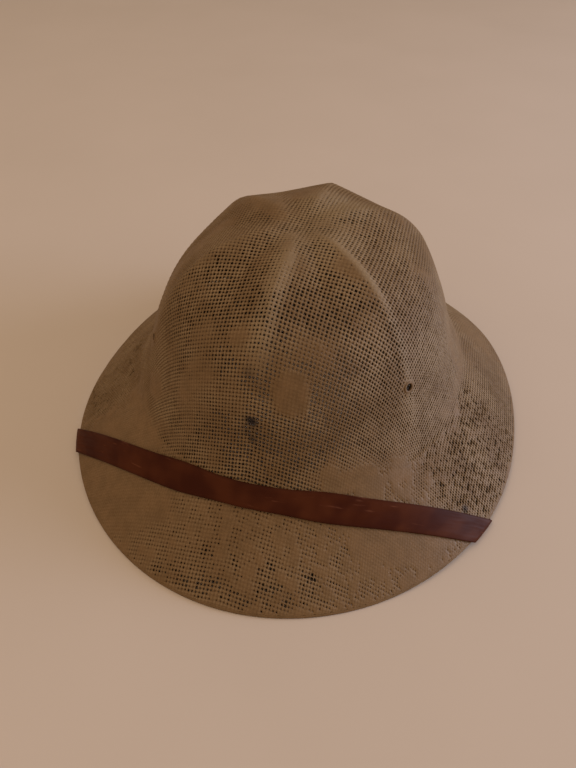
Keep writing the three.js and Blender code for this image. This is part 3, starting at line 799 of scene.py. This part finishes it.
# Chin strap: over the front of the brim, round its edge and up inside the crown to each temple
strap = dict(
    width=15.2, thickness=1.1, corner=0.35,
    frontReach=114.2, arch=49, spread=90, skew=0.013,  # its line over the brim
    edgeNearest=60, edgeFarthest=150,  # it meets the brim's edge this far to a side
    turnRadius=2.2, turnShift=2.2,  # its turn round the edge, and the degrees that it moves on there
    overGap=0.65, underGap=1.04, endGap=0.4,  # its distance from the cloth
    steps=dict(over=60, turn=20, under=60), eases=40,
    laidShare=0.985,  # how much of each stretch lies on the cloth, the rest going into the turn
)
# The stretch inside: its way from the turn to the temple, the temple's azimuth and the rivet's row
hiddenStretch = dict(along=(-0.3, 0, 0.18, 0.4, 0.62, 0.82, 1, 1.1),
                     station=(2.68, 2.0, 1.61, 1.33, 1.12, 0.98, 0.88, 0.79), temple=90, rivetRow=6)
# Scuffs on the leather: x, y, z, radius, depth
scuffs = [(-80, -89.5, 31, 7, 1.0), (-74, -92, 33, 5, 0.6), (60, -97, 37, 6, 0.4)]
rivet = dict(shank=2, head=4.5, headHeight=1.3, headGap=0.5, pocket=1.0, clearance=0.3,
             bevel=0.2, lip=0.15, side=0.35, sides=32)


# A curve through evenly spaced values, as the CAD's spline has it
def through(values, t):
    values = np.array(values, float)
    last = len(values) - 1
    t = np.clip(t, 0, 1) * last
    i = min(int(t), last - 1)
    k = t - i
    p = [values[max(i - 1, 0)], values[i], values[i + 1], values[min(i + 2, last)]]
    v0, v1 = (p[2] - p[0]) / 2, (p[3] - p[1]) / 2
    return ((2 * p[1] - 2 * p[2] + v0 + v1) * k ** 3 + (-3 * p[1] + 3 * p[2] - 2 * v0 - v1) * k ** 2
            + v0 * k + p[1])


# The place beside a line at t, at a distance in millimetres along the surface
def beside(line, t, distance):
    step = 1e-3
    azimuth, station = line(t)
    nextAzimuth, nextStation = line(t + step)
    around, down = shellSlopes(azimuth, station)
    forward = unit(around * (nextAzimuth - azimuth) + down * (nextStation - station))
    sideways = np.cross(unit(np.cross(around, down)), forward)
    a, b, c = around @ around, around @ down, down @ down
    p, q = sideways @ around * distance, sideways @ down * distance
    scale = 1 / (a * c - b * b)
    return azimuth + (c * p - b * q) * scale, station + (a * q - b * p) * scale


def overBrim(x):
    y = (-strap["frontReach"] + strap["arch"] * (math.hypot(1, x / strap["spread"]) - 1)
         + strap["skew"] * x)
    azimuth = math.atan2(x, -y)
    base = crownOutline(azimuth)
    return azimuth, 1 + (math.hypot(x, y) - base) / (brimOutline(azimuth) - base)


def underBrim(side, turnAzimuth):
    start = turnAzimuth + side * math.radians(strap["turnShift"])
    finish = side * math.radians(hiddenStretch["temple"])

    def line(t):
        along, station = through(hiddenStretch["along"], t), through(hiddenStretch["station"], t)
        return start + (finish - start) * along, station
    return line


# Where a line passes the brim's edge, by halving
def crossing(line, inside, outside):
    near, far = inside, outside
    for _ in range(30):
        middle = (near + far) / 2
        if line(middle)[1] < 2:
            near = middle
        else:
            far = middle
    return (near + far) / 2


# One section of the strap laid on the cloth: its two edges and its middle, and their normals
def layOn(places, gap, outward):
    points, normals = [], []
    for azimuth, station in places:
        normal = shellNormal(azimuth, station) * outward
        skin = 0 if outward > 0 else wall
        points.append(shellPoint(azimuth, station) + normal * (skin + gap + strap["thickness"] / 2))
        normals.append(normal)
    chord = (points[0] + points[2]) / 2
    if (chord - points[1]) @ normals[1] > 0:  # leather bridges a hollow
        points[1] = chord
    return np.array(points), np.array(normals)


def turned(vector, axis, angle):
    return (vector * math.cos(angle) + np.cross(axis, vector) * math.sin(angle)
            + axis * (axis @ vector) * (1 - math.cos(angle)))


def edgePoint(azimuth, inward, height):
    r = brimOutline(azimuth) - inward
    return np.array([math.sin(azimuth) * r, -math.cos(azimuth) * r, float(edgeLift(azimuth)) + height])


# One section of the turn round the brim's edge, k going from 0 above to 1 below
def turnSection(start, finish, k):
    points, normals = [], []
    for i in range(3):
        azimuth = start[i][0] + (finish[i][0] - start[i][0]) * k
        along = unit(edgePoint(azimuth + 1e-3, 0, 0) - edgePoint(azimuth - 1e-3, 0, 0))
        normal = turned(shellNormal(azimuth, 2.0), along, math.pi * k)
        half = brim["edgeHeight"] / 2
        points.append(edgePoint(azimuth, half, half) + normal * strap["turnRadius"])
        normals.append(normal)
    return np.array(points), np.array(normals)


def hiddenGap(t):
    return strap["underGap"] + (strap["endGap"] - strap["underGap"]) * t


# Leather bends evenly: each section moves towards the mean of its neighbours
def eased(sections):
    values = np.array(sections)
    for _ in range(strap["eases"]):
        values[1:-1] = (values[:-2] + 2 * values[1:-1] + values[2:]) / 4
    return [(points, unit(normals)) for points, normals in values]


def halfStrap(side):
    half = strap["width"] / 2
    edges = [lambda x, v=v: beside(overBrim, x, v * half) for v in (-1, 0, 1)]
    near, far = side * strap["edgeNearest"], side * strap["edgeFarthest"]
    leaves = [crossing(line, near, far) for line in edges]
    turnStart = [line(leave) for line, leave in zip(edges, leaves)]
    hidden = underBrim(side, turnStart[1][0])
    hiddenEdges = [lambda t, v=v: beside(hidden, t, -side * v * half) for v in (-1, 0, 1)]
    enters = [crossing(line, 0.6, 0) for line in hiddenEdges]
    turnEnd = [line(enter) for line, enter in zip(hiddenEdges, enters)]
    steps, sections = strap["steps"], []
    for i in range(1, steps["over"] + 1):
        k = strap["laidShare"] * i / steps["over"]
        places = [line(leave * k) for line, leave in zip(edges, leaves)]
        sections.append(layOn(places, strap["overGap"], 1))
    sections = eased(sections)
    for i in range(steps["turn"] + 1):
        sections.append(turnSection(turnStart, turnEnd, i / steps["turn"]))
    for i in range(steps["under"] + 1):
        k = 1 - strap["laidShare"] * (1 - i / steps["under"])
        along = [enter + (0.999 - enter) * k for enter in enters]
        places = [line(t) for line, t in zip(hiddenEdges, along)]
        sections.append(layOn(places, hiddenGap(along[1]), -1))
    return sections, hidden


# Outline of the leather's section: across from -1 to 1 and through its thickness from -1 to 1
def strapSection():
    corner = strap["corner"] / (strap["width"] / 2)
    flat = np.linspace(-1 + corner * 1.6, 1 - corner * 1.6, 7)
    bends = [(math.cos(a), math.sin(a)) for a in np.radians([70, 35, 0, -35, -70])]
    rightEnd = [(1 - corner + corner * c, s * 0.92) for c, s in bends]
    top = [(v, 1.0) for v in flat]
    bottom = [(v, -1.0) for v in flat[::-1]]
    leftEnd = [(-v, -s) for v, s in rightEnd]
    return top + rightEnd + bottom + leftEnd


def makeStrap():
    right, hiddenRight = halfStrap(-1)
    left, hiddenLeft = halfStrap(1)
    middle = [beside(overBrim, 0.0, v * strap["width"] / 2) for v in (-1, 0, 1)]
    sections = right[::-1] + [layOn(middle, strap["overGap"], 1)] + left
    shape = strapSection()
    points, uvs, length, before = [], [], 0.0, None
    for places, normals in sections:
        if before is not None:
            length += float(np.linalg.norm(places[1] - before))
        before = places[1]
        for v, height in shape:
            # Across the strap, a parabola through its two edges and its middle
            weights = (v * (v - 1) / 2, 1 - v * v, v * (v + 1) / 2)
            place = sum(w * p for w, p in zip(weights, places))
            normal = unit(sum(w * n for w, n in zip(weights, normals)))
            points.append(place + normal * height * strap["thickness"] / 2)
            uvs.append((length, v * strap["width"] / 2))
    count, rows = len(shape), len(sections)
    faces = ringFaces(rows, count)
    faces.append(tuple(range(count))[::-1])
    faces.append(tuple(range((rows - 1) * count, rows * count)))
    obj = addMesh("strap", np.array(points) * mm, faces, leather)
    layer = obj.data.uv_layers.new(name="strap")
    corners = [loop.vertex_index for loop in obj.data.loops]
    layer.data.foreach_set("uv", np.array(uvs)[corners].ravel())
    storeValues(obj.data, scuffed=np.clip(patchwork(np.array(points), scuffs), 0, 1))
    finishPiece(obj, "strap_leather", "chin_strap")
    print(f"strap {length:.1f} mm long")
    return hiddenRight, hiddenLeft


def makeRivet(name, node, hidden):
    t = hiddenStretch["rivetRow"] / (len(hiddenStretch["along"]) - 1)
    azimuth, station = hidden(t)
    axis = -shellNormal(azimuth, station)
    point = shellPoint(azimuth, station) + axis * wall
    under = hiddenGap(t) + strap["thickness"] + rivet["headGap"]
    end, side, top = rivet["clearance"] - rivet["pocket"], under + rivet["side"], under + rivet["headHeight"]
    shank, head, bevel, sides = [rivet[key] for key in ("shank", "head", "bevel", "sides")]
    profile = [(0, end), (shank - bevel, end), (shank, end + bevel), (shank, under),
               (head - bevel, under), (head, under + rivet["lip"]), (head, side)]
    profile += [(head * math.cos(a), side + (top - side) * math.sin(a))
                for a in np.radians([15, 30, 45, 60, 75])]
    profile.append((0, top))
    across = unit(np.cross(axis, (0, 1, 0)))
    upward = np.cross(axis, across)
    points = [point + axis * profile[0][1]]
    for r, height in profile[1:-1]:
        for turn in [2 * math.pi * i / sides for i in range(sides)]:
            out = across * math.cos(turn) + upward * math.sin(turn)
            points.append(point + axis * height + out * r)
    points.append(point + axis * top)
    rings, last = len(profile) - 2, len(points) - 1
    faces = [(0, 1 + (i + 1) % sides, 1 + i) for i in range(sides)]
    faces += ringFaces(rings, sides, first=1)
    start = 1 + (rings - 1) * sides
    faces += [(last, start + i, start + (i + 1) % sides) for i in range(sides)]
    obj = addMesh(name, np.array(points) * mm, faces, brass)
    obj.data.set_sharp_from_angle(angle=math.radians(50))
    finishPiece(obj, "rivet_brass", node)


leather = makeLeatherMaterial()
for side, hidden in zip(("right", "left"), makeStrap()):
    makeRivet(f"rivet_{side}", f"strap_rivet_{side}", hidden)
print("strap and rivets made")

# Table top and light: each lamp has its place in metres, size, watts and colour
light = dict(
    world="#ffe2c4", worldStrength=0.47,
    overhead=((-0.4, -0.5, 1.8), 1.6, 8.4, "#ffdcb4"),
    window=((1.8, 0.45, 0.42), 1.0, 30, "#dfe6ff"),
)


def makeStage():
    half = tableLook["halfSide"]  # metres
    corners = [(-half, -half, 0), (half, -half, 0), (half, half, 0), (-half, half, 0)]
    floor = addMesh("table_top", corners, [(0, 1, 2, 3)], makeTableMaterial())
    world = bpy.data.worlds.new("studio")
    world.use_nodes = True
    background = world.node_tree.nodes["Background"]
    background.inputs[0].default_value = linear(light["world"])
    background.inputs[1].default_value = light["worldStrength"]
    bpy.context.scene.world = world
    for name in ("overhead", "window"):
        place, size, power, colour = light[name]
        lamp = bpy.data.lights.new(name, "AREA")
        lamp.size = size
        lamp.energy = power
        lamp.color = linear(colour)[:3]
        obj = bpy.data.objects.new(name, lamp)
        obj.location = place
        obj.rotation_euler = (Vector(place) - Vector((0, 0, 0.06))).to_track_quat("Z", "Y").to_euler()
        bpy.context.scene.collection.objects.link(obj)
    bpy.context.scene.view_settings.view_transform = "Standard"


makeStage()
print("table and light made")
